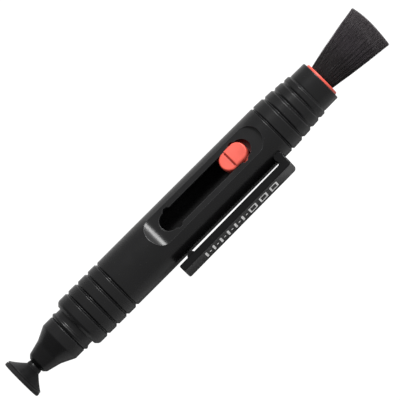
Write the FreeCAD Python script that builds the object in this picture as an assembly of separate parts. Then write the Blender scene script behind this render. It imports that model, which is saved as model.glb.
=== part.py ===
import FreeCAD, Part
import math
import os

# Lens cleaning pen with a tilting round wiping tip, a pocket clip and a retractable flared brush.
# Millimetres. +X runs from the wiping tip to the brush, +Z is the side of the thumb slot, and the
# pocket clip is on the -Y side. The origin is on the pen's axis, at the rear of the cap's spigot.

Vector = FreeCAD.Vector

# ---- driving dimensions -------------------------------------------------------------------------
FIT = 0.1                     # gap between pieces that move on each other

# wiping tip
PAD_RADIUS = 6.0
PAD_FRONT = -17.4
PAD_BACK = -16.35
GLUE_BACK = -16.2             # front face of the rubber tip
BACKING_RADIUS = 5.2
BACKING_TAPER = 0.35
BACKING_REAR = GLUE_BACK + 0.6
TIP_CENTRE = -12.6            # centre of the ball about which the rubber tip tilts
TIP_BALL = 2.15               # outer radius of the rubber ball behind the trumpet
SEAT_GAP = 0.15               # between the rubber ball and its seat in the nose cone
STEM_BALL = 1.0
STEM_PEG = 0.5
STEM_JOURNAL = 1.2
STEM_COLLAR = 1.8
COLLAR_FRONT = -6.9
TILT_LIMIT = 15.0             # degrees

# nose cone and the plug that closes the barrel
SPIGOT_RADIUS = 6.135         # the protective cap slides over this
NOSE_FRONT = -11.6
NOSE_REAR = 0.3
PARTING = 0.25                # chamfers that show the joint between nose cone and plug
SOCKET_RADIUS = 2.4
SOCKET_FRONT = -9.6
SOCKET_REAR = -5.2
PLUG_FRONT = -3.9
PLUG_SPIGOT = 4.6             # plug's front spigot in the nose cone
CAP_RIDGE = 6.55              # corner of the ridge that the cap snaps over, before rounding
NECK_RADIUS = 6.015
SHOULDER = 3.4                # the face where the cap stops
PLUG_REAR = 9.4
PLUG_HOLLOW = 3.4             # radius of the hollow in the plug
PLUG_WALL = -2.5              # rear face of the wall that closes the plug

# barrel
BORE = 5.45
BARREL_RADIUS = 7.75
BARREL_REAR_RADIUS = 7.665
BAND_END = 32.0               # end of the plain cylindrical band behind the grip rings
MOUTH = 94.74
GRIP_GROOVES = (7.66, 11.22, 14.87, 18.39)
GRIP_RING_RADIUS = 7.8
GROOVE_WIDTH = 1.06
GROOVE_DEPTH = 0.55
EDGE_ROUND = 0.12             # rounding of the rings' edges
# each groove of the brush end: start x, radius there, bottom radius, end x, radius there
MOUTH_GROOVES = (
    (76.25, BARREL_REAR_RADIUS, 7.15, 77.15, 7.68),
    (80.15, 7.55, 6.95, 81.3, 7.4),
    (83.5, 7.3, 6.7, 84.75, 7.14),
    (86.8, 7.0, 6.48, 87.95, 6.87),
    (89.3, 6.82, 6.3, 90.2, 6.41),
)
MOUTH_RADIUS = 6.35

# flat with the thumb slot
FLAT_Z = 6.35
NOTCH_START = 32.85           # the thumb notch slopes down from the barrel's top
NOTCH_END = 35.0              # where its slope would meet the flat, before rounding
NOTCH_ROUND = 4.7
FLAT_END_CENTRE = 69.25
FLAT_HALF_WIDTH = 4.4
SLOT_START = 37.44
SLOT_END = 69.69
SLOT_HALF_WIDTH = 2.85
EAR_HALF_WIDTH = 3.5
EAR_LENGTH = 2.3
EAR_INSET = 4.0               # from a slot end to the middle of its pair of ears
CHANNEL_TOP = 5.35            # underside of the wall that holds the slot
CHANNEL_HALF_WIDTH = 3.7

# thumb button, carriage and brush
BUTTON_START = 59.8
BUTTON_END = 68.25
BUTTON_STEP = 63.1
BUTTON_LOW = 6.9
BUTTON_HIGH = 7.4
BUTTON_HALF_WIDTH = SLOT_HALF_WIDTH - FIT
BUTTON_GROOVE = 0.45          # width and depth of the cross groove before the step
PRESS = 0.8                   # the button's travel downwards
SLIDE = 20.9                  # the brush's travel
TRAY_TOP = 3.6
TRAY_END = 71.5
PILL_BOTTOM = TRAY_TOP + PRESS + 0.2
FLANGE_FRONT = 61.2
FLANGE_REAR = 67.0
FLANGE_TOP = CHANNEL_TOP - FIT
LUG_MIDDLE = SLOT_END - EAR_INSET - 0.05
LUG_LENGTH = 1.5
LUG_HALF_WIDTH = EAR_HALF_WIDTH - 0.15
POST_FRONT = 61.6
POST_REAR = 67.8
POST_HALF_WIDTH = 1.55
POCKET_PLAY = 0.3             # room for the post along the pen
POCKET_FLOOR = 0.9
SPRING_HALF_SPAN = 3.2
SPRING_HALF_WIDTH = 1.4
SPRING_THICKNESS = 0.2
SPRING_RISE = 1.45
CARRIAGE_FRONT = 60.2
CARRIAGE_RADIUS = 5.3
CORE_RADIUS = 3.4             # hollow in the middle of the carriage
SLEEVE_BORE = 4.3
ROOT_FRONT = 84.0
HAIR_ROOT = 88.0
HAIR_ROOT_HALF = (3.3, 3.0)   # half width and half thickness of the bound hairs
BINDING_FRONT = 88.2
BINDING_REAR = 90.2
FERRULE_SEAT = 91.4
FERRULE_FRONT = 95.4
FERRULE_HOLE = (4.1, 3.65)
HAIR_TIP = 114.85
HAIR_CROWN = 41.0             # radius of the crowned end of the hair
HAIR_LEAN = 0.85              # the tuft's end leans this far to +Y

# pocket clip
CLIP_FREE = 33.6
CLIP_ROOT = 73.8
CLIP_HALF_WIDTH = 3.5
CLIP_THICKNESS = 2.12
CLIP_FREE_INNER = 9.9        # distance from the pen's axis to the clip's inner face
CLIP_ROOT_INNER = 9.53
CLIP_FOOT = 1.3               # radius of the clip's foot
CLIP_PIVOT_Y = -7.9


# ---- helpers ------------------------------------------------------------------------------------
def outline(corners, plane="radius"):
    """Closed wire through corners (a, b, rounding). plane "radius" lays (x, radius) in the XY plane,
    "side" lays (x, z) in the XZ plane."""
    if plane == "radius":
        points = [Vector(c[0], c[1], 0) for c in corners]
    else:
        points = [Vector(c[0], 0, c[1]) for c in corners]
    rounding = [c[2] if len(c) > 2 else 0.0 for c in corners]
    count = len(points)
    edges = []
    ends = []
    for i in range(count):
        here = points[i]
        if rounding[i] <= 0:
            ends.append((here, here))
            continue
        back = (points[i - 1] - here).normalize()
        ahead = (points[(i + 1) % count] - here).normalize()
        half = back.getAngle(ahead) / 2
        reach = rounding[i] / math.tan(half)
        middle_way = (back + ahead).normalize()
        middle = here + middle_way * (rounding[i] / math.sin(half) - rounding[i])
        start = here + back * reach
        end = here + ahead * reach
        edges.append(Part.Arc(start, middle, end).toShape())
        ends.append((start, end))
    for i in range(count):
        start = ends[i][1]
        end = ends[(i + 1) % count][0]
        if (end - start).Length > 1e-6:
            edges.append(Part.LineSegment(start, end).toShape())
    return Part.Wire(Part.__sortEdges__(edges))


def turned(corners):
    """Solid of revolution about the pen's axis from corners (x, radius, rounding)."""
    face = Part.Face(outline(corners))
    return face.revolve(Vector(0, 0, 0), Vector(1, 0, 0), 360)


def box(x0, x1, y0, y1, z0, z1):
    return Part.makeBox(x1 - x0, y1 - y0, z1 - z0, Vector(x0, y0, z0))


def rod(x0, x1, radius):
    return Part.makeCylinder(radius, x1 - x0, Vector(x0, 0, 0), Vector(1, 0, 0))


def stadium(x0, x1, half_width, z0, z1):
    """Upright prism with round ends between x0 and x1."""
    first = Vector(x0 + half_width, 0, z0)
    last = Vector(x1 - half_width, 0, z0)
    height = z1 - z0
    body = box(first.x, last.x, -half_width, half_width, z0, z1)
    ends = [Part.makeCylinder(half_width, height, p) for p in (first, last)]
    return body.fuse(ends).removeSplitter()


def oval(x, half_y, half_z, y=0.0):
    """Oval wire across the pen's axis at x, wider in Y than in Z."""
    shape = Part.Ellipse(Vector(x, y + half_y, 0), Vector(x, y, half_z), Vector(x, y, 0))
    return Part.Wire([shape.toShape()])


def save(name, shape):
    """Write one named piece, after checking that it is sound and of one solid."""
    if not shape.isValid() or len(shape.Solids) != 1:
        raise RuntimeError("%s: valid %s, solids %d" % (name, shape.isValid(), len(shape.Solids)))
    solid = shape.Solids[0]
    solid.exportStep("parts/%s.step" % name)
    low = solid.BoundBox
    print("%-18s x %7.2f %7.2f  y %6.2f %6.2f  z %6.2f %6.2f  vol %8.1f" % (
        name, low.XMin, low.XMax, low.YMin, low.YMax, low.ZMin, low.ZMax, solid.Volume))


# ---- wiping tip ---------------------------------------------------------------------------------
def cleaning_pad():
    """Soft disc with a slightly hollow wiping face and a rounded rim."""
    disc = turned([
        (PAD_FRONT, 0), (PAD_FRONT, PAD_RADIUS, 0.3), (PAD_BACK, PAD_RADIUS, 0.2), (PAD_BACK, 0)])
    hollow_radius = 60.0
    hollow_depth = 0.12
    ball = Part.makeSphere(hollow_radius, Vector(PAD_FRONT + hollow_depth - hollow_radius, 0, 0))
    return disc.cut(ball)


def pad_adhesive():
    return rod(PAD_BACK, GLUE_BACK, PAD_RADIUS - 0.35)


def pad_backing():
    """Stiff disc that keeps the pad's shape, let into the rubber."""
    return turned([
        (GLUE_BACK, 0), (GLUE_BACK, BACKING_RADIUS), (BACKING_REAR, BACKING_RADIUS - BACKING_TAPER),
        (BACKING_REAR, 0)])


def on_ball(radius, degrees):
    """Point of a circle about the ball's centre, counted from the brush side of the axis."""
    turn = math.radians(degrees)
    return Vector(TIP_CENTRE + radius * math.cos(turn), radius * math.sin(turn), 0)


def tip_cup():
    """Rubber trumpet that ends in a ball: the ball turns on the stem and sits in the nose cone.
    Its rear mouth widens like a funnel, so that the stem's peg stays clear when the tip tilts."""
    cavity = STEM_BALL + FIT
    lean = math.tan(math.radians(TILT_LIMIT))
    mouth_outer = math.degrees(math.asin((STEM_PEG + FIT + TIP_BALL * lean) / TIP_BALL))
    mouth_inner = math.degrees(math.asin((STEM_PEG + FIT + 0.7 * cavity * lean) / cavity))
    waist = 97.0
    rim = Vector(GLUE_BACK + 0.3, PAD_RADIUS - 0.15, 0)
    front = [
        Vector(BACKING_REAR, 0, 0), Vector(BACKING_REAR, BACKING_RADIUS - BACKING_TAPER, 0),
        Vector(GLUE_BACK, BACKING_RADIUS, 0), Vector(GLUE_BACK, rim.y, 0), rim]
    edges = [Part.LineSegment(a, b).toShape() for a, b in zip(front, front[1:])]
    edges += [
        Part.Arc(rim, Vector(-14.2, 3.6, 0), on_ball(TIP_BALL, waist)).toShape(),
        Part.Arc(
            on_ball(TIP_BALL, waist), on_ball(TIP_BALL, 60), on_ball(TIP_BALL, mouth_outer)).toShape(),
        Part.LineSegment(on_ball(TIP_BALL, mouth_outer), on_ball(cavity, mouth_inner)).toShape(),
        Part.Arc(on_ball(cavity, mouth_inner), on_ball(cavity, 120), on_ball(cavity, 180)).toShape(),
        Part.LineSegment(Vector(TIP_CENTRE - cavity, 0, 0), front[0]).toShape(),
    ]
    return Part.Face(Part.Wire(edges)).revolve(Vector(0, 0, 0), Vector(1, 0, 0), 360)


def tip_stem():
    """Ball, thin peg, journal and collar in one: it turns in the socket about the pen's axis."""
    journal_front = SOCKET_FRONT + FIT
    collar_rear = SOCKET_REAR - 0.3
    ball = Part.makeSphere(STEM_BALL, Vector(TIP_CENTRE, 0, 0))
    shank = turned([
        (journal_front, 0), (journal_front, STEM_JOURNAL, 0.15), (COLLAR_FRONT, STEM_JOURNAL),
        (COLLAR_FRONT, STEM_COLLAR, 0.15), (collar_rear, STEM_COLLAR, 0.15), (collar_rear, 0)])
    return rod(TIP_CENTRE, journal_front + 0.2, STEM_PEG).fuse([ball, shank]).removeSplitter()


def tip_socket():
    """Bush in the nose cone with a bore for the stem's journal and a wider seat for its collar."""
    seat = COLLAR_FRONT - FIT
    return turned([
        (SOCKET_FRONT, STEM_JOURNAL + FIT), (SOCKET_FRONT, SOCKET_RADIUS, 0.2),
        (SOCKET_REAR, SOCKET_RADIUS), (SOCKET_REAR, STEM_COLLAR + FIT), (seat, STEM_COLLAR + FIT),
        (seat, STEM_JOURNAL + FIT)])


def socket_retainer():
    """Disc behind the stem's collar. The barrel's plug holds it in place."""
    return turned([
        (SOCKET_REAR, 0), (SOCKET_REAR, SOCKET_RADIUS), (PLUG_FRONT, SOCKET_RADIUS, 0.2), (PLUG_FRONT, 0)])


# ---- nose cone and barrel plug ------------------------------------------------------------------
def nose_cone():
    """Stepped cone with a hollow seat in front for the rubber ball and the cap's spigot behind."""
    shell = turned([
        (NOSE_FRONT, 0), (NOSE_FRONT, 2.4, 0.1), (-10.75, 3.25, 0.7), (-6.7, 4.3, 3.0),
        (-2.95, SPIGOT_RADIUS, 1.0), (NOSE_REAR - PARTING, SPIGOT_RADIUS),
        (NOSE_REAR, SPIGOT_RADIUS - PARTING),
        (NOSE_REAR, PLUG_SPIGOT), (PLUG_FRONT, PLUG_SPIGOT), (PLUG_FRONT, SOCKET_RADIUS),
        (SOCKET_FRONT, SOCKET_RADIUS), (SOCKET_FRONT, 0)])
    seat = Part.makeSphere(TIP_BALL + SEAT_GAP, Vector(TIP_CENTRE, 0, 0))
    peg_hole = rod(NOSE_FRONT, SOCKET_FRONT + FIT, STEM_PEG + 2 * FIT)
    return shell.cut([seat, peg_hole])


def barrel_plug():
    """Plug that closes the barrel and carries the nose cone, with the ridge for the cap."""
    return turned([
        (PLUG_FRONT, 0), (PLUG_FRONT, PLUG_SPIGOT, 0.2), (NOSE_REAR, PLUG_SPIGOT),
        (NOSE_REAR, SPIGOT_RADIUS - PARTING), (NOSE_REAR + PARTING, 6.15), (1.05, CAP_RIDGE, 0.4),
        (1.8, 6.04, 0.3), (SHOULDER, NECK_RADIUS),
        (SHOULDER, BORE), (PLUG_REAR, BORE, 0.3), (PLUG_REAR, PLUG_HOLLOW),
        (PLUG_WALL, PLUG_HOLLOW, 0.5), (PLUG_WALL, 0)])


# ---- barrel -------------------------------------------------------------------------------------
def barrel_profile():
    """Half section of the ribbed barrel: collar, grip rings, plain body and the ringed brush end.
    A groove between two rings is a V with a slightly rounded bottom."""
    bottom_round = 0.08
    corners = [
        (SHOULDER, BORE), (SHOULDER, 6.85, 0.15), (4.15, 7.6, 0.35), (4.7, GRIP_RING_RADIUS, 0.3)]
    for middle in GRIP_GROOVES:
        last = BARREL_RADIUS if middle == GRIP_GROOVES[-1] else GRIP_RING_RADIUS
        corners.append((middle - GROOVE_WIDTH / 2, GRIP_RING_RADIUS, EDGE_ROUND))
        corners.append((middle, GRIP_RING_RADIUS - GROOVE_DEPTH, bottom_round))
        corners.append((middle + GROOVE_WIDTH / 2, last, EDGE_ROUND))
    corners.append((BAND_END, BARREL_RADIUS))
    for start, start_radius, bottom, end, end_radius in MOUTH_GROOVES:
        corners.append((start, start_radius, EDGE_ROUND))
        corners.append(((start + end) / 2, bottom, bottom_round))
        corners.append((end, end_radius, EDGE_ROUND))
    corners += [(MOUTH, MOUTH_RADIUS, 0.25), (MOUTH, BORE + 0.2), (MOUTH - 0.2, BORE)]
    return corners


def slot_cutters():
    """The slot through the flat, a pair of ears near each end of it, and the channel below it."""
    above = FLAT_Z + 2
    below = CHANNEL_TOP - 1
    slot = stadium(SLOT_START, SLOT_END, SLOT_HALF_WIDTH, below, above)
    ears = []
    bevel = EAR_HALF_WIDTH - SLOT_HALF_WIDTH
    for middle in (SLOT_START + EAR_INSET, SLOT_END - EAR_INSET):
        wide = EAR_LENGTH / 2
        narrow = wide - bevel
        points = [
            (-wide, SLOT_HALF_WIDTH), (-narrow, EAR_HALF_WIDTH), (narrow, EAR_HALF_WIDTH),
            (wide, SLOT_HALF_WIDTH), (wide, -SLOT_HALF_WIDTH), (narrow, -EAR_HALF_WIDTH),
            (-narrow, -EAR_HALF_WIDTH), (-wide, -SLOT_HALF_WIDTH), (-wide, SLOT_HALF_WIDTH)]
        ring = Part.makePolygon([Vector(middle + a, b, below) for a, b in points])
        ears.append(Part.Face(ring).extrude(Vector(0, 0, above - below)))
    channel_front = FLANGE_FRONT - SLIDE - 0.9
    channel = box(
        channel_front, SLOT_END - 0.3, -CHANNEL_HALF_WIDTH, CHANNEL_HALF_WIDTH, 0, CHANNEL_TOP)
    return [slot] + ears + [channel]


def flat_cutter():
    """Takes the flat off the barrel's top: a thumb notch that runs into the flat with a hollow curve
    in front, and a round end behind."""
    top = BARREL_RADIUS + 1
    slope = (BARREL_RADIUS - FLAT_Z) / (NOTCH_END - NOTCH_START)
    before = NOTCH_START - 0.3
    side = outline([
        (before, BARREL_RADIUS + 0.3 * slope), (NOTCH_END, FLAT_Z, NOTCH_ROUND),
        (FLAT_END_CENTRE, FLAT_Z), (FLAT_END_CENTRE, top), (before, top)], plane="side")
    prism = Part.Face(side).extrude(Vector(0, 2 * BARREL_RADIUS, 0))
    prism.translate(Vector(0, -BARREL_RADIUS, 0))
    end = Part.makeCylinder(FLAT_HALF_WIDTH, top - FLAT_Z, Vector(FLAT_END_CENTRE, 0, FLAT_Z))
    return [prism, end]


def clip_mortise():
    """Round-bottomed seat in the barrel for the clip's foot."""
    radius = CLIP_FOOT + FIT
    half = CLIP_HALF_WIDTH + FIT
    middle = CLIP_ROOT - CLIP_FOOT
    floor = Part.makeCylinder(radius, 2 * half, Vector(middle, CLIP_PIVOT_Y, -half))
    throat = box(middle - radius, middle + radius, -BARREL_RADIUS - 2, CLIP_PIVOT_Y, -half, half)
    return [floor, throat]


def barrel_tube():
    return turned(barrel_profile()).cut(flat_cutter() + slot_cutters() + clip_mortise())


# ---- pocket clip --------------------------------------------------------------------------------
def pocket_clip():
    """Long flat bar with a rounded root that turns slightly in the barrel, and an inner bump."""
    middle = CLIP_ROOT - CLIP_FOOT
    corners = [
        (CLIP_FREE, -CLIP_FREE_INNER, 0.4), (CLIP_FREE, -CLIP_FREE_INNER - CLIP_THICKNESS, 0.5),
        (CLIP_ROOT, -CLIP_ROOT_INNER - CLIP_THICKNESS, 1.1), (CLIP_ROOT, CLIP_PIVOT_Y),
        (middle - CLIP_FOOT, CLIP_PIVOT_Y), (middle - CLIP_FOOT, -CLIP_ROOT_INNER, 0.5)]
    bar = Part.Face(outline(corners)).extrude(Vector(0, 0, 2 * CLIP_HALF_WIDTH))
    bar.translate(Vector(0, 0, -CLIP_HALF_WIDTH))
    long_edges = [
        e for e in bar.Edges
        if e.BoundBox.XLength > 30 and e.BoundBox.YMin < -CLIP_ROOT_INNER - 1
        and e.BoundBox.ZLength < 0.01]
    bar = bar.makeFillet(0.3, long_edges)
    foot = Part.makeCylinder(CLIP_FOOT, 2 * CLIP_HALF_WIDTH, Vector(middle, CLIP_PIVOT_Y, -CLIP_HALF_WIDTH))
    bump_x = CLIP_FREE + 4.4
    bump_half = CLIP_HALF_WIDTH - 0.5
    bump = Part.makeCylinder(1.3, 2 * bump_half, Vector(bump_x, -CLIP_FREE_INNER - 0.3, -bump_half))
    return bar.fuse([foot, bump]).removeSplitter()


# ---- thumb button -------------------------------------------------------------------------------
def slide_button():
    """Pill-shaped button with a cross groove and a step, on a flange with two lugs and a post."""
    wide = BUTTON_HALF_WIDTH + 1
    low = stadium(BUTTON_START, BUTTON_END, BUTTON_HALF_WIDTH, PILL_BOTTOM, BUTTON_LOW)
    high = stadium(BUTTON_START, BUTTON_END, BUTTON_HALF_WIDTH, PILL_BOTTOM, BUTTON_HIGH)
    low = low.makeFillet(0.45, [e for e in low.Edges if e.BoundBox.ZMin > BUTTON_LOW - 0.01])
    high = high.makeFillet(0.6, [e for e in high.Edges if e.BoundBox.ZMin > BUTTON_HIGH - 0.01])
    front = low.common(box(BUTTON_START - 1, BUTTON_STEP, -wide, wide, PILL_BOTTOM, BUTTON_LOW + 1))
    riser = outline([
        (BUTTON_STEP, PILL_BOTTOM), (BUTTON_STEP, BUTTON_HIGH, 0.3), (BUTTON_END + 1, BUTTON_HIGH - 0.1),
        (BUTTON_END + 1, PILL_BOTTOM)], plane="side")
    riser_prism = Part.Face(riser).extrude(Vector(0, 2 * wide, 0))
    riser_prism.translate(Vector(0, -wide, 0))
    rear = high.common(riser_prism)
    groove_half = BUTTON_HALF_WIDTH - 0.6
    groove = box(
        BUTTON_STEP - BUTTON_GROOVE, BUTTON_STEP, -groove_half, groove_half,
        BUTTON_LOW - BUTTON_GROOVE, BUTTON_HIGH + 1)
    flange = box(
        FLANGE_FRONT, FLANGE_REAR, -BUTTON_HALF_WIDTH, BUTTON_HALF_WIDTH, PILL_BOTTOM, FLANGE_TOP)
    lugs = box(
        LUG_MIDDLE - LUG_LENGTH / 2, LUG_MIDDLE + LUG_LENGTH / 2, -LUG_HALF_WIDTH, LUG_HALF_WIDTH,
        PILL_BOTTOM, FLANGE_TOP)
    spring_top = POCKET_FLOOR + SPRING_THICKNESS + SPRING_RISE
    post = box(
        POST_FRONT, POST_REAR, -POST_HALF_WIDTH, POST_HALF_WIDTH, spring_top + FIT / 2, PILL_BOTTOM)
    cap = front.fuse(rear).cut(groove)
    return cap.fuse([flange, lugs, post]).removeSplitter()


def button_spring():
    """Bowed leaf of spring steel on the pocket's floor, under the button's post."""
    middle = (POST_FRONT + POST_REAR) / 2
    foot = POCKET_FLOOR + SPRING_THICKNESS
    upper = Part.Arc(
        Vector(middle - SPRING_HALF_SPAN, 0, foot), Vector(middle, 0, foot + SPRING_RISE),
        Vector(middle + SPRING_HALF_SPAN, 0, foot)).toShape()
    leaf = upper.extrude(Vector(0, 2 * SPRING_HALF_WIDTH, 0))
    leaf.translate(Vector(0, -SPRING_HALF_WIDTH, 0))
    return leaf.extrude(Vector(0, 0, -SPRING_THICKNESS))


# ---- carriage and brush -------------------------------------------------------------------------
def brush_carriage():
    """Round slide: an open tray for the button in front, and a sleeve for the brush behind."""
    body = turned([
        (CARRIAGE_FRONT, 0), (CARRIAGE_FRONT, CARRIAGE_RADIUS, 0.4), (FERRULE_SEAT, CARRIAGE_RADIUS),
        (FERRULE_SEAT, SLEEVE_BORE), (ROOT_FRONT, SLEEVE_BORE), (ROOT_FRONT, 0)])
    outside = CARRIAGE_RADIUS + 1
    tray = box(CARRIAGE_FRONT - 1, TRAY_END, -outside, outside, TRAY_TOP, outside)
    pocket_half = POST_HALF_WIDTH + FIT
    pocket = box(
        POST_FRONT - POCKET_PLAY, POST_REAR + POCKET_PLAY, -pocket_half, pocket_half,
        POCKET_FLOOR, TRAY_TOP + 1)
    core_wall = 1.5
    core = rod(TRAY_END + core_wall, ROOT_FRONT - core_wall, CORE_RADIUS)
    return body.cut([tray, pocket, core])


def brush_root():
    """Glue plug that holds the ends of the hairs in the sleeve."""
    return turned([
        (ROOT_FRONT, 0), (ROOT_FRONT, SLEEVE_BORE), (HAIR_ROOT, SLEEVE_BORE), (HAIR_ROOT, 0)])


def brush_binding():
    """Thread winding round the hairs, inside the sleeve."""
    ring = rod(BINDING_FRONT, BINDING_REAR, SLEEVE_BORE - 0.1)
    ring = ring.makeFillet(0.25, [e for e in ring.Edges if e.BoundBox.XLength < 0.01])
    hole = Part.Face(oval(BINDING_FRONT - 1, *HAIR_ROOT_HALF)).extrude(Vector(4, 0, 0))
    return ring.cut(hole)


def brush_ferrule():
    """Ring that closes the sleeve round the hairs and shows in the barrel's mouth."""
    ring = turned([
        (FERRULE_SEAT - 0.8, 0), (FERRULE_SEAT - 0.8, SLEEVE_BORE), (FERRULE_SEAT, SLEEVE_BORE),
        (FERRULE_SEAT, CARRIAGE_RADIUS), (FERRULE_FRONT, CARRIAGE_RADIUS, 0.3), (FERRULE_FRONT, 0)])
    hole = Part.Face(oval(FERRULE_SEAT - 2, *FERRULE_HOLE)).extrude(Vector(8, 0, 0))
    return ring.cut(hole)


def brush_hair():
    """Plain outer shape of the flared tuft: an oval that widens towards a slightly crowned end."""
    root = Part.Face(oval(HAIR_ROOT, *HAIR_ROOT_HALF)).extrude(Vector(BINDING_REAR - HAIR_ROOT, 0, 0))
    crest = 0.9
    sections = [
        (BINDING_REAR, *HAIR_ROOT_HALF, 0.0), (FERRULE_FRONT, 3.8, 3.4, 0.2), (101.0, 4.95, 3.8, 0.4),
        (107.5, 6.2, 4.15, 0.6), (HAIR_TIP - crest, 7.2, 4.5, HAIR_LEAN)]
    flare = Part.makeLoft([oval(x, a, b, y) for x, a, b, y in sections], True, True)
    crown = Part.makeSphere(HAIR_CROWN, Vector(HAIR_TIP - HAIR_CROWN, HAIR_LEAN, 0))
    end = Part.Face(oval(*sections[-1])).extrude(Vector(crest, 0, 0)).common(crown)
    return root.fuse([flare, end]).removeSplitter()


# ---- write every piece --------------------------------------------------------------------------
PIECES = (
    cleaning_pad, pad_adhesive, pad_backing, tip_cup, tip_stem, tip_socket, socket_retainer,
    nose_cone, barrel_plug, barrel_tube, pocket_clip, slide_button, button_spring,
    brush_carriage, brush_root, brush_binding, brush_ferrule, brush_hair)

os.makedirs("parts", exist_ok=True)
for piece in PIECES:
    save(piece.__name__, piece())
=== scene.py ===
import math

import bpy
import numpy as np
from mathutils import Matrix, Vector


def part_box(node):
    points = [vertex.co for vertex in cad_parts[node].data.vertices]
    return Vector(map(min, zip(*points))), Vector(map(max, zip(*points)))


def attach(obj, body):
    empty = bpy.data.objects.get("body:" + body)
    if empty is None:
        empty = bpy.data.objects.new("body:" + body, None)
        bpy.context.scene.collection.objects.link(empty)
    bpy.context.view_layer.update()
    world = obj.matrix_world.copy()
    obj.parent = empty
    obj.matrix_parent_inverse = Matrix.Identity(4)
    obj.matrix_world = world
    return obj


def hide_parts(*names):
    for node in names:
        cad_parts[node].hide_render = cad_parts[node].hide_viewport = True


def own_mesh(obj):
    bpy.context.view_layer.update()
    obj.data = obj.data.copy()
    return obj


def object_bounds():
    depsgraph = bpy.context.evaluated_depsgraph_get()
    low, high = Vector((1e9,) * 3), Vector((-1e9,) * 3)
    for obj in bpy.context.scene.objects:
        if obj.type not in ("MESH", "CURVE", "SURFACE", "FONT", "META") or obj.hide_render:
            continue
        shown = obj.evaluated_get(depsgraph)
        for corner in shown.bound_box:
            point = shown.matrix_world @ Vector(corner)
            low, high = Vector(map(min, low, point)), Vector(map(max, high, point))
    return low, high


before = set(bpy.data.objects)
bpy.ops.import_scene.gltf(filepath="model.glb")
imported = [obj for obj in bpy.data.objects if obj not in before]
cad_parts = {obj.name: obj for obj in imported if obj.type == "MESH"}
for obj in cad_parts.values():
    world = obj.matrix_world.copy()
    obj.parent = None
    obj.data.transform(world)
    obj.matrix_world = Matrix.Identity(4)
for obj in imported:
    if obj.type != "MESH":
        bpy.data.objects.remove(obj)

# Lens cleaning pen. Metres, in the CAD frame: +X from the wiping tip to the brush, +Z the thumb
# slot's side, the pocket clip on the -Y side. The CAD nodes keep their shapes and get procedural
# finishes. The tuft of hair, the wiping pad, the leaf under the button and the marks printed on the
# clip are made here.

MM = 0.001
CAD_BOX = [list(map(float, corner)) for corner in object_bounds()]
FULL_TURN = 2 * np.pi
SEED = 20                     # of the random draws


# ---- mesh helpers -------------------------------------------------------------------------------
def place_mesh(name, points, faces, body, material, smooth=True):
    """Piece at the origin, with its place in its mesh: the last axis of points is x, y, z in metres."""
    mesh = bpy.data.meshes.new(name)
    mesh.from_pydata(points.reshape(-1, 3).tolist(), [], faces)
    mesh.polygons.foreach_set("use_smooth", np.full(len(mesh.polygons), smooth))
    mesh.update()
    mesh.materials.append(material)
    piece = bpy.data.objects.new(name, mesh)
    bpy.context.collection.objects.link(piece)
    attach(piece, body)
    return piece


def grid_faces(rows, columns, close_columns=False):
    """Quads of a grid whose points are numbered row by row. A closed grid joins its last column to
    its first."""
    spans = columns if close_columns else columns - 1
    row, column = np.meshgrid(np.arange(rows - 1), np.arange(spans), indexing="ij")
    following = (column + 1) % columns
    a = row * columns + column
    b = row * columns + following
    return np.stack([a, b, b + columns, a + columns], axis=-1).reshape(-1, 4)


def turned_points(x, radius, columns):
    """Surface of revolution about the X axis: each (x, radius) pair is carried round a full turn."""
    angle = np.linspace(0, FULL_TURN, columns, endpoint=False)
    ring_x = np.repeat(x[:, None], columns, axis=1)
    ring_y = radius[:, None] * np.cos(angle)
    ring_z = radius[:, None] * np.sin(angle)
    return np.stack([ring_x, ring_y, ring_z], axis=-1)


def close_poles(points, rows, columns):
    """Faces of a closed surface whose first and last rows are fanned to one point each."""
    quads = grid_faces(rows, columns, close_columns=True)
    first_pole = len(points)
    last_pole = first_pole + 1
    index = np.arange(columns)
    following = (index + 1) % columns
    last_row = (rows - 1) * columns
    start_fan = np.stack([np.full(columns, first_pole), following, index], axis=-1)
    end_fan = np.stack([np.full(columns, last_pole), last_row + index, last_row + following], axis=-1)
    grid = points.reshape(rows, columns, 3)
    poles = np.stack([grid[0].mean(axis=0), grid[-1].mean(axis=0)])
    faces = quads.tolist() + start_fan.tolist() + end_fan.tolist()
    return np.concatenate([points, poles]), faces


# ---- shader groups ------------------------------------------------------------------------------
def new_group(name, inputs, outputs):
    """Empty shader group with named sockets: inputs and outputs are (name, kind, default) rows."""
    group = bpy.data.node_groups.new(name, "ShaderNodeTree")
    for direction, rows in (("INPUT", inputs), ("OUTPUT", outputs)):
        for label, kind, default in rows:
            socket = group.interface.new_socket(label, in_out=direction, socket_type=kind)
            if default is not None:
                socket.default_value = default
    ins = group.nodes.new("NodeGroupInput")
    outs = group.nodes.new("NodeGroupOutput")
    return group, ins, outs


def add(tree, kind, **values):
    """New node; names of its own settings or, after "in_", of its input sockets give their values."""
    node = tree.nodes.new(kind)
    for label, value in values.items():
        if label.startswith("in_"):
            node.inputs[label[3:].replace("_", " ")].default_value = value
        else:
            setattr(node, label, value)
    return node


def map_range(tree, start, end, low, high, **values):
    """Map Range node that goes from low to high as its value goes from start to end."""
    return add(
        tree, "ShaderNodeMapRange", in_From_Min=start, in_From_Max=end, in_To_Min=low,
        in_To_Max=high, **values)


def two_tone(tree, first, second, start=0.0, end=1.0):
    """Colour ramp from the first colour at start to the second at end."""
    ramp = add(tree, "ShaderNodeValToRGB")
    stops = ramp.color_ramp.elements
    stops[0].position = start
    stops[0].color = (*first, 1)
    stops[1].position = end
    stops[1].color = (*second, 1)
    return ramp


# the Mix node's sockets for vectors, by number
MIX_FACTOR = 0
MIX_A = 4
MIX_B = 5
MIX_RESULT = 1

EDGE_HIGHLIGHT_TINT = (0.06, 0.06, 0.063)        # painted highlight: added to the colour where the edge mask is full
DUST_COLOUR = (0.1, 0.098, 0.095)
DUST_CELLS = 520.0                     # cells in a metre, each with at most one speck
MOTTLE_SCALE = 140.0


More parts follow.
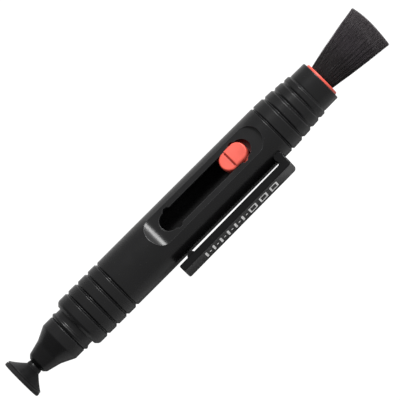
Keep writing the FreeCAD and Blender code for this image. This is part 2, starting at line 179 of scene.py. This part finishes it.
def moulded_skin_group():
    """Skin of a moulded piece: fine grain in the normal, slow mottling of colour and gloss, rounded
    edges that carry a painted highlight, and a few pale specks of dust."""
    group, ins, outs = new_group(
        "moulded_skin",
        [("Colour", "NodeSocketColor", (0.02, 0.02, 0.02, 1)),
         ("Grain Size", "NodeSocketFloat", 0.2 * MM),
         ("Grain Depth", "NodeSocketFloat", 0.01 * MM),
         ("Edge Radius", "NodeSocketFloat", 0.2 * MM),
         # strength of the painted highlight along edges
         ("Edge Paleness", "NodeSocketFloat", 0.3),
         ("Gloss", "NodeSocketFloat", 0.4),
         ("Dust", "NodeSocketFloat", 0.2)],
        [("Colour", "NodeSocketColor", None),
         ("Roughness", "NodeSocketFloat", None),
         ("Normal", "NodeSocketVector", None)])
    link = group.links.new
    place = add(group, "ShaderNodeTexCoord")
    density = add(group, "ShaderNodeMath", operation="DIVIDE")
    density.inputs[0].default_value = 1.0
    link(ins.outputs["Grain Size"], density.inputs[1])
    grain = add(group, "ShaderNodeTexNoise", in_Detail=3.0, in_Roughness=0.6)
    link(place.outputs["Object"], grain.inputs["Vector"])
    link(density.outputs[0], grain.inputs["Scale"])
    rounded = add(group, "ShaderNodeBevel", samples=6)
    link(ins.outputs["Edge Radius"], rounded.inputs["Radius"])
    bump = add(group, "ShaderNodeBump", in_Strength=1.0)
    link(ins.outputs["Grain Depth"], bump.inputs["Distance"])
    link(grain.outputs["Fac"], bump.inputs["Height"])
    link(rounded.outputs["Normal"], bump.inputs["Normal"])
    link(bump.outputs["Normal"], outs.inputs["Normal"])
    # an edge is where the rounded normal leaves the true one: the cosine between them falls
    surface = add(group, "ShaderNodeNewGeometry")
    likeness = add(group, "ShaderNodeVectorMath", operation="DOT_PRODUCT")
    link(rounded.outputs["Normal"], likeness.inputs[0])
    link(surface.outputs["Normal"], likeness.inputs[1])
    edge = map_range(group, 0.995, 0.85, 0.0, 1.0)
    link(likeness.outputs["Value"], edge.inputs["Value"])
    # painted highlight: the edge mask, scaled by its strength, pales the colour along every edge
    painted_edge_highlight = add(group, "ShaderNodeMath", operation="MULTIPLY")
    link(edge.outputs[0], painted_edge_highlight.inputs[0])
    link(ins.outputs["Edge Paleness"], painted_edge_highlight.inputs[1])
    # slow mottling of colour and gloss
    mottle = add(group, "ShaderNodeTexNoise", in_Scale=MOTTLE_SCALE, in_Detail=4.0)
    link(place.outputs["Object"], mottle.inputs["Vector"])
    shade = map_range(group, 0.3, 0.7, 0.88, 1.12)
    link(mottle.outputs["Fac"], shade.inputs["Value"])
    tinted = add(group, "ShaderNodeVectorMath", operation="SCALE")
    link(ins.outputs["Colour"], tinted.inputs[0])
    link(shade.outputs[0], tinted.inputs["Scale"])
    highlit_colour = add(group, "ShaderNodeVectorMath", operation="ADD")
    highlit_colour.inputs[1].default_value = EDGE_HIGHLIGHT_TINT
    link(tinted.outputs[0], highlit_colour.inputs[0])
    with_edge_highlight = add(group, "ShaderNodeMix", data_type="VECTOR", clamp_factor=True)
    link(painted_edge_highlight.outputs[0], with_edge_highlight.inputs[MIX_FACTOR])
    link(tinted.outputs[0], with_edge_highlight.inputs[MIX_A])
    link(highlit_colour.outputs[0], with_edge_highlight.inputs[MIX_B])
    # dust: a small round speck about the middle of each cell that the surface cuts near its middle
    cells = add(group, "ShaderNodeTexVoronoi", in_Scale=DUST_CELLS)
    link(place.outputs["Object"], cells.inputs["Vector"])
    speck = map_range(group, 0.09, 0.04, 0.0, 1.0)
    link(cells.outputs["Distance"], speck.inputs["Value"])
    dusty = add(group, "ShaderNodeMath", operation="MULTIPLY")
    link(speck.outputs[0], dusty.inputs[0])
    link(ins.outputs["Dust"], dusty.inputs[1])
    dusted = add(group, "ShaderNodeMix", data_type="VECTOR", clamp_factor=True)
    dusted.inputs[MIX_B].default_value = DUST_COLOUR
    link(dusty.outputs[0], dusted.inputs[MIX_FACTOR])
    link(with_edge_highlight.outputs[MIX_RESULT], dusted.inputs[MIX_A])
    link(dusted.outputs[MIX_RESULT], outs.inputs["Colour"])
    sheen = add(group, "ShaderNodeMath", operation="MULTIPLY")
    link(ins.outputs["Gloss"], sheen.inputs[0])
    link(shade.outputs[0], sheen.inputs[1])
    link(sheen.outputs[0], outs.inputs["Roughness"])
    return group


MOULDED_SKIN = moulded_skin_group()


# ---- materials ----------------------------------------------------------------------------------
def new_material(name, **shader_values):
    """Material with its Principled shader; values are given by the shader's socket names."""
    material = bpy.data.materials.new(name)
    material.use_nodes = True
    shader = material.node_tree.nodes["Principled BSDF"]
    for label, value in shader_values.items():
        shader.inputs[label.replace("_", " ")].default_value = value
    return material, material.node_tree, shader


def moulded(name, colour, grain, depth, edge, paleness, gloss, dust, **shader_values):
    """Moulded plastic or rubber on the shared skin: grain, depth and edge are lengths in metres, edge
    paleness is a painted highlight, and gloss is the roughness about which the mottling varies."""
    material, tree, shader = new_material(name, **shader_values)
    skin = add(
        tree, "ShaderNodeGroup", node_tree=MOULDED_SKIN, in_Colour=(*colour, 1), in_Grain_Size=grain,
        in_Grain_Depth=depth, in_Edge_Radius=edge, in_Edge_Paleness=paleness, in_Gloss=gloss,
        in_Dust=dust)
    tree.links.new(skin.outputs["Colour"], shader.inputs["Base Color"])
    tree.links.new(skin.outputs["Roughness"], shader.inputs["Roughness"])
    tree.links.new(skin.outputs["Normal"], shader.inputs["Normal"])
    return material


HAIR_STOPS = (0.42, 0.65)              # where along a strand its low and middle colours are


def hair_material(name, root, low, middle, tip, spread):
    """Goat hair: the piece's UV holds a strand's own random number and the distance along it, which
    give the strand's tone, spread either side of 1, and its colour from the bound root to the tip."""
    material, tree, shader = new_material(
        name, Roughness=0.5, Sheen_Weight=0.1, Sheen_Roughness=0.4, Specular_IOR_Level=0.3)
    link = tree.links.new
    uv = add(tree, "ShaderNodeUVMap", uv_map="strand")
    parts = add(tree, "ShaderNodeSeparateXYZ")
    link(uv.outputs["UV"], parts.inputs[0])
    ramp = two_tone(tree, root, tip)
    for position, colour in zip(HAIR_STOPS, (low, middle)):
        ramp.color_ramp.elements.new(position).color = (*colour, 1)
    link(parts.outputs["Y"], ramp.inputs["Fac"])
    tone = add(tree, "ShaderNodeMapRange", in_To_Min=1 - spread, in_To_Max=1 + spread)
    link(parts.outputs["X"], tone.inputs["Value"])
    tinted = add(tree, "ShaderNodeVectorMath", operation="SCALE")
    link(ramp.outputs["Color"], tinted.inputs[0])
    link(tone.outputs[0], tinted.inputs["Scale"])
    link(tinted.outputs[0], shader.inputs["Base Color"])
    return material


def suede_material():
    """Chamois charged with carbon: a short uneven nap, darker where it is rubbed down."""
    material, tree, shader = new_material(
        "chamois_suede", Sheen_Weight=0.06, Sheen_Roughness=0.6, Specular_IOR_Level=0.2)
    link = tree.links.new
    place = add(tree, "ShaderNodeTexCoord")
    nap = add(tree, "ShaderNodeTexNoise", in_Scale=3500.0, in_Detail=4.0, in_Roughness=0.7)
    rubbed = add(tree, "ShaderNodeTexNoise", in_Scale=320.0, in_Detail=3.0)
    link(place.outputs["Object"], nap.inputs["Vector"])
    link(place.outputs["Object"], rubbed.inputs["Vector"])
    ramp = two_tone(tree, (0.005, 0.005, 0.0055), (0.014, 0.0135, 0.014), 0.3, 0.75)
    link(rubbed.outputs["Fac"], ramp.inputs["Fac"])
    link(ramp.outputs["Color"], shader.inputs["Base Color"])
    dull = add(tree, "ShaderNodeMapRange", in_To_Min=0.8, in_To_Max=1.0)
    link(rubbed.outputs["Fac"], dull.inputs["Value"])
    link(dull.outputs[0], shader.inputs["Roughness"])
    bump = add(tree, "ShaderNodeBump", in_Strength=0.8, in_Distance=0.06 * MM)
    link(nap.outputs["Fac"], bump.inputs["Height"])
    link(bump.outputs["Normal"], shader.inputs["Normal"])
    return material


def print_material():
    """Pad-printed white ink, a little thin in places."""
    material, tree, shader = new_material("white_print")
    link = tree.links.new
    place = add(tree, "ShaderNodeTexCoord")
    cover = add(tree, "ShaderNodeTexNoise", in_Scale=2200.0, in_Detail=3.0)
    link(place.outputs["Object"], cover.inputs["Vector"])
    ramp = two_tone(tree, (0.45, 0.45, 0.46), (0.86, 0.86, 0.85), 0.25, 0.5)
    link(cover.outputs["Fac"], ramp.inputs["Fac"])
    link(ramp.outputs["Color"], shader.inputs["Base Color"])
    dull = add(tree, "ShaderNodeMapRange", in_To_Min=0.4, in_To_Max=0.65)
    link(cover.outputs["Fac"], dull.inputs["Value"])
    link(dull.outputs[0], shader.inputs["Roughness"])
    return material


def thread_material():
    """Waxed thread wound round the pen's axis: fine turns along X."""
    material, tree, shader = new_material("wound_thread", Roughness=0.6)
    link = tree.links.new
    place = add(tree, "ShaderNodeTexCoord")
    turns = add(tree, "ShaderNodeTexWave", bands_direction="X", in_Scale=900.0, in_Distortion=0.6)
    link(place.outputs["Object"], turns.inputs["Vector"])
    ramp = two_tone(tree, (0.2, 0.15, 0.09), (0.52, 0.43, 0.3))
    link(turns.outputs["Fac"], ramp.inputs["Fac"])
    link(ramp.outputs["Color"], shader.inputs["Base Color"])
    bump = add(tree, "ShaderNodeBump", in_Strength=0.7, in_Distance=0.1 * MM)
    link(turns.outputs["Fac"], bump.inputs["Height"])
    link(bump.outputs["Normal"], shader.inputs["Normal"])
    return material


def spring_material():
    """Bare spring strip with fine rolling lines along X."""
    material, tree, shader = new_material("spring_strip", Metallic=1.0)
    link = tree.links.new
    place = add(tree, "ShaderNodeTexCoord")
    stretch = add(tree, "ShaderNodeMapping", in_Scale=(200.0, 9000.0, 9000.0))
    lines = add(tree, "ShaderNodeTexNoise", in_Scale=1.0, in_Detail=3.0)
    link(place.outputs["Object"], stretch.inputs["Vector"])
    link(stretch.outputs[0], lines.inputs["Vector"])
    ramp = two_tone(tree, (0.36, 0.36, 0.38), (0.62, 0.62, 0.64))
    link(lines.outputs["Fac"], ramp.inputs["Fac"])
    link(ramp.outputs["Color"], shader.inputs["Base Color"])
    dull = add(tree, "ShaderNodeMapRange", in_To_Min=0.25, in_To_Max=0.45)
    link(lines.outputs["Fac"], dull.inputs["Value"])
    link(dull.outputs[0], shader.inputs["Roughness"])
    return material


def dress(material, *nodes):
    """Gives CAD nodes a finish, through their objects' material slots."""
    for node in nodes:
        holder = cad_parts[node]
        if not holder.material_slots:
            holder.data.materials.append(material)
        for place in holder.material_slots:
            place.material = material


# ---- the tuft of hair ---------------------------------------------------------------------------
HAIR_START = 1.5 * MM                  # how far inside the ferrule's front end the strands begin
HAIR_LEAN = (0.15 * MM, 0.85 * MM)     # of the tuft's middle towards +Y, at the roots and the tips
HAIR_CROWN = 0.55 * MM                 # how much shorter the tuft is at its sides
HAIR_RAGGED = 0.2 * MM                 # typical shortfall of one strand
HAIR_END_GAP = 0.05 * MM               # from the longest strand's tip to the end of the CAD tuft
HAIR_BOW = 0.14 * MM                   # typical bow of one strand
HAIR_SPREAD = 0.42                     # power of the even draw from the oval's middle to its rim
HAIR_THINNEST = 0.55                   # the finest strand's thickness, as a share of the thickest's
HAIR_TAPER = 0.75                      # share of its thickness that a strand loses at its tip
HAIR_CORNERS = 3
HAIR_LEVELS = 6


def tuft(name, count, root_size, tip_size, thickness, stray, seed, material):
    """Bundle of tapering three-sided strands. A strand keeps its place in the oval of roots as the
    oval widens to the oval of tips: its line is root + (tip - root) t, with a slow sideways bow of
    4 t (1 - t), and its length follows the crowned end with a little shortfall of its own."""
    rng = np.random.default_rng(seed)
    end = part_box("brush_hair")[1][0]
    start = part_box("brush_ferrule")[0][0] + HAIR_START
    t = np.linspace(0, 1, HAIR_LEVELS)
    # a power under a half puts more hairs at the rim of the oval than an even spread, so it is full
    reach = rng.random(count) ** HAIR_SPREAD
    angle = rng.random(count) * FULL_TURN
    across = reach * np.cos(angle)
    through = reach * np.sin(angle)
    shortfall = HAIR_CROWN * across ** 2 + np.abs(rng.normal(0, HAIR_RAGGED, count))
    root = np.stack([
        np.full(count, start), root_size[0] * across + HAIR_LEAN[0], root_size[1] * through], axis=-1)
    wander = rng.normal(0, stray, (count, 2))
    tip = np.stack([
        end - HAIR_END_GAP - shortfall, tip_size[0] * across + HAIR_LEAN[1] + wander[:, 0],
        tip_size[1] * through + wander[:, 1]], axis=-1)
    line = root[:, None] + (tip - root)[:, None] * t[None, :, None]
    bow = rng.normal(0, HAIR_BOW, (count, 2))[:, None] * (t * (1 - t))[None, :, None] * 4
    line[:, :, 1:] += bow
    # strands differ in thickness, and each thins as the cube of the way to its tip
    own_width = thickness * (HAIR_THINNEST + (1 - HAIR_THINNEST) * rng.random(count))
    width = own_width[:, None] * (1 - HAIR_TAPER * t ** 3)[None, :]
    corner = np.arange(HAIR_CORNERS) * FULL_TURN / HAIR_CORNERS + rng.random(count)[:, None] * FULL_TURN
    side = np.stack([np.zeros_like(corner), np.cos(corner), np.sin(corner)], axis=-1)
    points = line[:, :, None] + side[:, None] * (width / 2)[:, :, None, None]
    strand_points = HAIR_LEVELS * HAIR_CORNERS
    own_start = (np.arange(count) * strand_points)[:, None, None]
    walls = (grid_faces(HAIR_LEVELS, HAIR_CORNERS, close_columns=True)[None] + own_start).reshape(-1, 4)
    last = strand_points - HAIR_CORNERS
    caps = (np.array([[0, 2, 1], [last, last + 1, last + 2]])[None] + own_start).reshape(-1, 3)
    piece = place_mesh(name, points, walls.tolist() + caps.tolist(), "carriage", material)
    mesh = piece.data
    own = np.repeat(rng.random(count), strand_points)
    along = np.tile(np.repeat(t, HAIR_CORNERS), count)
    vertex = np.empty(len(mesh.loops), np.int32)
    mesh.loops.foreach_get("vertex_index", vertex)
    strand = mesh.uv_layers.new(name="strand")
    strand.data.foreach_set("uv", np.stack([own, along], axis=-1)[vertex].ravel())
    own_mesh(piece)
    return piece


# ---- the wiping pad -----------------------------------------------------------------------------
PAD_RIM = 0.32 * MM                    # radius of the rolled rim
PAD_HOLLOW = 0.13 * MM                 # depth of the face's middle
PAD_NAP = 0.012 * MM                   # typical depth to which a point is pushed in
PAD_BACK_EDGE = (0.1 * MM, 0.12 * MM)  # length and depth of the bevel at the back
PAD_CENTRE = 0.02                      # the innermost ring, as a share of the face's radius
PAD_COLUMNS = 160
FACE_ROWS = 44
RIM_ROWS = 6
SIDE_ROWS = 4


def wiping_pad(material):
    """Round pad: a slightly hollow face, front + hollow (1 - (r / face radius)^2), a rolled rim of a
    quarter circle, and a nap. The section runs from the centre of the face over the rim to the back,
    and each point but those of the back is pushed in a little at random."""
    rng = np.random.default_rng(SEED)
    low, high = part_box("cleaning_pad")
    radius = high[1]
    front = low[0]
    back = high[0]
    face = radius - PAD_RIM
    face_r = np.linspace(PAD_CENTRE, 1, FACE_ROWS) * face
    face_x = front + PAD_HOLLOW * (1 - (face_r / face) ** 2)
    turn = np.linspace(0, np.pi / 2, RIM_ROWS + 1)[1:]
    rim_r = face + PAD_RIM * np.sin(turn)
    rim_x = front + PAD_RIM - PAD_RIM * np.cos(turn)
    side_x = np.linspace(front + PAD_RIM, back - PAD_BACK_EDGE[0], SIDE_ROWS + 1)[1:]
    side_r = np.full(SIDE_ROWS, radius)
    back_r = np.array([radius - PAD_BACK_EDGE[1], radius * 0.6, radius * 0.05])
    back_x = np.full(len(back_r), back)
    x = np.concatenate([face_x, rim_x, side_x, back_x])
    r = np.concatenate([face_r, rim_r, side_r, back_r])
    points = turned_points(x, r, PAD_COLUMNS)
    nap = rng.normal(0, PAD_NAP, points.shape[:2])
    nap[-len(back_x):] = 0
    points[:, :, 0] += np.abs(nap)
    closed, faces = close_poles(points.reshape(-1, 3), len(x), PAD_COLUMNS)
    piece = place_mesh("chamois_pad", closed, faces, "tip", material)
    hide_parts("cleaning_pad")


# ---- the spring under the button ----------------------------------------------------------------
LEAF_THICKNESS = 0.2 * MM
LEAF_STATIONS = 33


def bowed_leaf(material):
    """Leaf spring, which in the real pen flattens as the button goes down; here it has one bowed shape:
    its upper face is the arc of a circle through its two feet and its crown,
    crown - bend + sqrt(bend^2 - x^2), and its lower face is one thickness below it."""
    low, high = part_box("button_spring")
    height = high[2] - low[2]
    half_span = (high[0] - low[0]) / 2
    rise = height - LEAF_THICKNESS
    bend = (half_span ** 2 + rise ** 2) / (2 * rise)
    x = np.linspace(-half_span, half_span, LEAF_STATIONS)
    upper = high[2] - bend + np.sqrt(bend ** 2 - x ** 2)
    x = x + (low[0] + high[0]) / 2
    lower = upper - LEAF_THICKNESS
    section = [(low[1], upper), (low[1], lower), (high[1], lower), (high[1], upper)]
    points = np.stack([np.stack([x, np.full_like(x, y), z], axis=-1) for y, z in section], axis=1)
    last = 4 * (LEAF_STATIONS - 1)
    faces = grid_faces(LEAF_STATIONS, 4, close_columns=True).tolist()
    faces += [[3, 2, 1, 0], [last, last + 1, last + 2, last + 3]]
    piece = place_mesh("spring_leaf", points, faces, "carriage", material, smooth=False)
    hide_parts("button_spring")
    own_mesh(piece)


# ---- marks printed on the clip ------------------------------------------------------------------
def rounded_outline(half_length, half_height, corner):
    """Closed outline of a rectangle with round corners: the sign of the cosine and sine of the turn
    picks the corner, and the turn goes round it. Arrays of half lengths give one outline a row."""
    turn = (np.arange(OUTLINE_POINTS) + 0.5) * FULL_TURN / OUTLINE_POINTS
    along = np.sign(np.cos(turn)) * (half_length - corner) + corner * np.cos(turn)
    up = np.sign(np.sin(turn)) * (half_height - corner) + corner * np.sin(turn)
    return along, up


CLIP_FACE_RISE = 0.37 / 40.2           # the clip's outer face nears the barrel towards the root
INK = 0.02 * MM                        # how far the ink stands above the face and reaches into it
MARKS_START = 7.4 * MM                 # from the clip's free end to the first bar
BAR_COUNT = 6
BAR_PITCH = 2.7 * MM
BAR_HALF_WIDTH = 0.32 * MM
BAR_FILLED = 0.97                      # share of a bar's half width that its ink covers
MARK_HALF_HEIGHT = 1.75 * MM
FRAME_COUNT = 3
FRAMES_START = 17.3 * MM               # from the first bar to the first frame
FRAME_PITCH = 3.9 * MM
FRAME_HALF_LENGTH = 1.35 * MM
FRAME_STROKE = 0.5 * MM
OUTER_CORNER = 0.24 * MM
INNER_CORNER = 0.006 * MM
OUTLINE_POINTS = 32


def printed_marks(material):
    """Plain scale of bars, dots and open frames in ink on the clip's outer face. A mark is a ring of
    four rows of points: its outer outline below and above the face, and its inner one above and
    below. In a bar or dot the inner outline shrinks to a fine slit."""
    low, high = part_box("pocket_clip")
    start = low[0] + MARKS_START
    fill = BAR_FILLED * BAR_HALF_WIDTH
    marks = []                         # middle, half length, half height, width of the ink's border
    for i in range(BAR_COUNT):
        marks.append((start + i * BAR_PITCH, BAR_HALF_WIDTH, MARK_HALF_HEIGHT, fill))
        marks.append((start + (i + 0.5) * BAR_PITCH, BAR_HALF_WIDTH, BAR_HALF_WIDTH, fill))
    for i in range(FRAME_COUNT):
        middle = start + FRAMES_START + i * FRAME_PITCH
        marks.append((middle, FRAME_HALF_LENGTH, MARK_HALF_HEIGHT, FRAME_STROKE))
    middle, half_length, half_height, border = np.array(marks).T[:, :, None]
    outer = rounded_outline(half_length, half_height, OUTER_CORNER)
    inner = rounded_outline(half_length - border, half_height - border, INNER_CORNER)
    rings = []
    for (along, up), proud in ((outer, INK), (outer, -INK), (inner, -INK), (inner, INK)):
        face = low[1] + CLIP_FACE_RISE * (middle + along - low[0])
        rings.append(np.stack([middle + along, face + proud, up], axis=-1))
    points = np.stack(rings, axis=1)
    mark_points = len(rings) * OUTLINE_POINTS
    around = grid_faces(len(rings) + 1, OUTLINE_POINTS, close_columns=True) % mark_points
    own_start = (np.arange(len(marks)) * mark_points)[:, None, None]
    faces = (around[None] + own_start).reshape(-1, 4)
    place_mesh("clip_marks", points, faces.tolist(), "clip", material, smooth=False)


# ---- camera, floor and lights -------------------------------------------------------------------
VIEW_ROLL = math.radians(19.5)         # the camera's turn about X, from +Z towards the clip
VIEW_WIDTH = 105.7 * MM                # seen at the pen's distance
VIEW_DISTANCE = 1.6
VIEW_MIDDLE = 49.82 * MM               # along the pen
VIEW_ASIDE = 0.25 * MM
FLOOR_HALF = 2.5
FLOOR_GAP = 0.05 * MM
FLOOR_GREY = 0.5                       # the floor's colour as the pen sees it
WHITE = 1.1                            # of the floor and the surroundings as the camera sees them
SOFTBOX_PLACE = (0.514, 0.3, 0.71)
SOFTBOX_AIM = (0.05, 0, 0)
SOFTBOX_SIDE = 0.3
SOFTBOX_POWER = 8.2
# The surroundings' light. Each row goes, smoothly, from its third number to its fourth as the cosine
# of the direction to an axis goes from its first to its second: the strength along X, the glow that
# is added along X at the brush's end, and the share of that glow along Z, so that it is only high up.
TIP_END_FADE = (-0.7, 0.1, 0.2, 0.6)
BRUSH_END_GLOW = (0.45, 0.95, 0.0, 4.4)
GLOW_HEIGHT = (0.3, 0.6, 0.0, 1.0)


def whiten(tree, lit, white, output):
    """The floor and the surroundings are plain white to look at, and light the pen more softly."""
    seen = add(tree, "ShaderNodeLightPath")
    choice = add(tree, "ShaderNodeMixShader")
    tree.links.new(seen.outputs["Is Camera Ray"], choice.inputs[0])
    tree.links.new(lit, choice.inputs[1])
    tree.links.new(white, choice.inputs[2])
    tree.links.new(choice.outputs[0], output.inputs["Surface"])


def set_camera():
    """Camera on a long lens, looking down on the slot from the clip's side, with the pen rising to
    the right at 45 degrees."""
    back = Vector((0, -math.sin(VIEW_ROLL), math.cos(VIEW_ROLL)))
    lateral = Vector((0, -math.cos(VIEW_ROLL), -math.sin(VIEW_ROLL)))
    along = Vector((1, 0, 0))
    right = (along + lateral).normalized()
    up = (along - lateral).normalized()
    target = Vector((VIEW_MIDDLE, 0, 0)) - lateral * VIEW_ASIDE
    lens = bpy.data.cameras.new("camera")
    lens.lens = lens.sensor_width * VIEW_DISTANCE / VIEW_WIDTH
    lens.clip_end = 20
    camera = bpy.data.objects.new("camera", lens)
    turn = Matrix((right, up, back)).transposed()
    camera.matrix_world = Matrix.Translation(target + back * VIEW_DISTANCE) @ turn.to_4x4()
    bpy.context.collection.objects.link(camera)
    bpy.context.scene.camera = camera


def lay_floor():
    """Plain pale floor, just under the pen."""
    level = CAD_BOX[0][2] - FLOOR_GAP
    corners = [
        (-FLOOR_HALF, -FLOOR_HALF, level), (FLOOR_HALF, -FLOOR_HALF, level),
        (FLOOR_HALF, FLOOR_HALF, level), (-FLOOR_HALF, FLOOR_HALF, level)]
    mesh = bpy.data.meshes.new("floor")
    mesh.from_pydata(corners, [], [[0, 1, 2, 3]])
    floor = bpy.data.objects.new("floor", mesh)
    bpy.context.collection.objects.link(floor)
    paper, tree, shader = new_material("floor_paper", Base_Color=(*[FLOOR_GREY] * 3, 1), Roughness=0.9)
    white = add(tree, "ShaderNodeEmission", in_Strength=WHITE)
    whiten(tree, shader.outputs[0], white.outputs[0], tree.nodes["Material Output"])
    mesh.materials.append(paper)


def hang_softbox():
    """One square softbox above the brush's end, which draws the light band in the thumb notch."""
    lamp = bpy.data.lights.new("brush_end_softbox", "AREA")
    lamp.shape = "RECTANGLE"
    lamp.size = SOFTBOX_SIDE
    lamp.size_y = SOFTBOX_SIDE
    lamp.energy = SOFTBOX_POWER
    holder = bpy.data.objects.new("brush_end_softbox", lamp)
    direction = Vector(SOFTBOX_AIM) - Vector(SOFTBOX_PLACE)
    turn = direction.to_track_quat("-Z", "Y").to_matrix().to_4x4()
    holder.matrix_world = Matrix.Translation(SOFTBOX_PLACE) @ turn
    bpy.context.collection.objects.link(holder)


def light_surroundings():
    """Soft light from all round: fade(x) + glow(x) height(z), for the direction (x, y, z)."""
    world = bpy.data.worlds.new("studio")
    world.use_nodes = True
    tree = world.node_tree
    soft = tree.nodes["Background"]
    soft.inputs["Color"].default_value = (1, 1, 1, 1)
    direction = add(tree, "ShaderNodeTexCoord")
    parts = add(tree, "ShaderNodeSeparateXYZ")
    tree.links.new(direction.outputs["Generated"], parts.inputs[0])
    total = add(tree, "ShaderNodeMath", operation="MULTIPLY_ADD")
    rows = (("X", BRUSH_END_GLOW), ("Z", GLOW_HEIGHT), ("X", TIP_END_FADE))
    for socket, (axis, row) in zip(total.inputs, rows):
        fade = map_range(tree, *row, interpolation_type="SMOOTHSTEP")
        tree.links.new(parts.outputs[axis], fade.inputs["Value"])
        tree.links.new(fade.outputs[0], socket)
    tree.links.new(total.outputs[0], soft.inputs["Strength"])
    white = add(tree, "ShaderNodeBackground", in_Color=(1, 1, 1, 1), in_Strength=WHITE)
    whiten(tree, soft.outputs[0], white.outputs[0], tree.nodes["World Output"])
    bpy.context.scene.world = world


# ---- build --------------------------------------------------------------------------------------
# name, colour, grain size and depth, edge radius, edge paleness (a painted highlight), roughness, dust
black = moulded(
    "black_moulding", (0.0065, 0.0065, 0.0068), 0.16 * MM, 0.003 * MM, 0.2 * MM, 1.0, 0.25, 0.1,
    Specular_IOR_Level=0.28)
clip_black = moulded(
    "clip_moulding", (0.003, 0.003, 0.0032), 0.16 * MM, 0.003 * MM, 0.2 * MM, 0.25, 0.25, 0.1,
    Specular_IOR_Level=0.16)
rubber = moulded(
    "tip_rubber", (0.0055, 0.0055, 0.0058), 0.1 * MM, 0.003 * MM, 0.1 * MM, 0.2, 0.34, 0.1,
    Specular_IOR_Level=0.2)
acetal = moulded(
    "stiff_black", (0.02, 0.02, 0.021), 0.2 * MM, 0.003 * MM, 0.1 * MM, 0.2, 0.35, 0.0)
coral = moulded(
    "coral_moulding", (0.67, 0.088, 0.06), 0.3 * MM, 0.003 * MM, 0.12 * MM, 0.3, 0.36, 0.0)
# the carriage's coral, darkened as painted shade for its place deep in the slot
red = moulded(
    "red_moulding", (0.16, 0.012, 0.012), 0.3 * MM, 0.003 * MM, 0.12 * MM, 0.2, 0.4, 0.0)
root_glue = moulded(
    "cured_glue", (0.2, 0.12, 0.07), 0.6 * MM, 0.02 * MM, 0.1 * MM, 0.0, 0.3, 0.0)
pad_glue = moulded(
    "pad_adhesive_film", (0.008, 0.008, 0.008), 0.3 * MM, 0.01 * MM, 0.05 * MM, 0.0, 0.5, 0.0)

dress(black, "barrel_tube", "barrel_plug", "nose_cone")
dress(clip_black, "pocket_clip")
dress(rubber, "tip_cup")
dress(acetal, "tip_stem", "tip_socket", "socket_retainer", "pad_backing")
dress(coral, "slide_button", "brush_ferrule")
dress(red, "brush_carriage")
dress(root_glue, "brush_root")
dress(pad_glue, "pad_adhesive")
dress(thread_material(), "brush_binding")

# name, colours from the root to the tip, spread of tone
hair = hair_material(
    "goat_hair", (0.004, 0.0025, 0.0025), (0.013, 0.01, 0.011), (0.036, 0.029, 0.034),
    (0.055, 0.047, 0.051), 0.3)
# name, strands, half width and half thickness at the roots and at the tips, thickness of a strand,
# stray of its tip, seed, material
outer_tuft = tuft(
    "brush_tuft", 6000, (3.25 * MM, 2.95 * MM), (7.1 * MM, 4.4 * MM), 0.12 * MM, 0.08 * MM, SEED, hair)
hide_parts("brush_hair")
tuft(
    "brush_fine_hairs", 6000, (3.2 * MM, 2.9 * MM), (7.0 * MM, 4.35 * MM), 0.09 * MM, 0.12 * MM,
    SEED + 1, hair)

bowed_leaf(spring_material())
wiping_pad(suede_material())
printed_marks(print_material())
set_camera()
lay_floor()
hang_softbox()
light_surroundings()
bpy.context.scene.view_settings.view_transform = "Standard"
